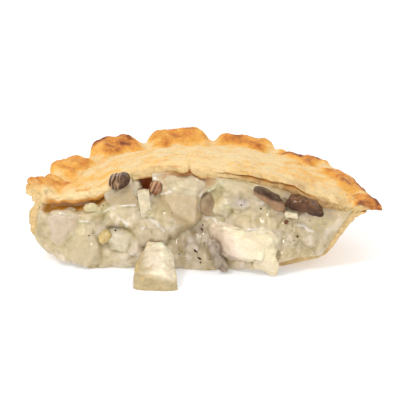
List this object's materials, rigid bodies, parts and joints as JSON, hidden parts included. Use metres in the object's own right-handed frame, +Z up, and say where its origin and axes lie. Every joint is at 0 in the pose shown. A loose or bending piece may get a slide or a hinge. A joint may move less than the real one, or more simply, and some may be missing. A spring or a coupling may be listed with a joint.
{
  "type": "half chicken pot pie",
  "caption": "Half of a small hand-crimped chicken, mushroom and leek pie, cut straight through, with a creamy filling bulging from the cut and one chicken piece slid out in front.",
  "frame": {"origin": "on the flat underside of the pie, in the plane that it rests on, 20 mm behind the cut and on the middle of the cut's length", "axes": "+X along the cut to the right as seen from the cut side, +Y from the cut into the pie, +Z up"},
  "size_m": [0.13, 0.0923, 0.0388],
  "materials": {
    "top_pastry": "baked shortcrust, golden with browned crimps",
    "base_pastry": "baked shortcrust, pale gold",
    "cream_sauce": "thick cream sauce, wet",
    "chicken": "cooked chicken under a thin coat of sauce",
    "mushroom": "cooked mushroom, wet",
    "leek": "soft cooked leek",
    "onion": "soft cooked onion"
  },
  "bodies": {
    "root": {"top_crust": "top_pastry", "bottom_crust": "base_pastry", "filling": "cream_sauce", "chicken_slid_out": "chicken", "chicken_centre": "chicken", "chicken_flap_low": "chicken", "chicken_low_right": "chicken", "chicken_left": "chicken", "chicken_low_left": "chicken", "chicken_slab_high": "chicken", "chicken_middle": "chicken", "chicken_low_middle": "chicken", "mushroom_cap_left": "mushroom", "mushroom_slice_right": "mushroom", "mushroom_slice_middle": "mushroom", "mushroom_gills_middle": "mushroom", "mushroom_piece_centre": "mushroom", "mushroom_strip_low": "mushroom", "onion_chip_right": "onion", "onion_strip_middle": "onion", "leek_piece_left": "leek", "leek_piece_high": "leek", "leek_piece_centre": "leek"}
  },
  "joints": []
}
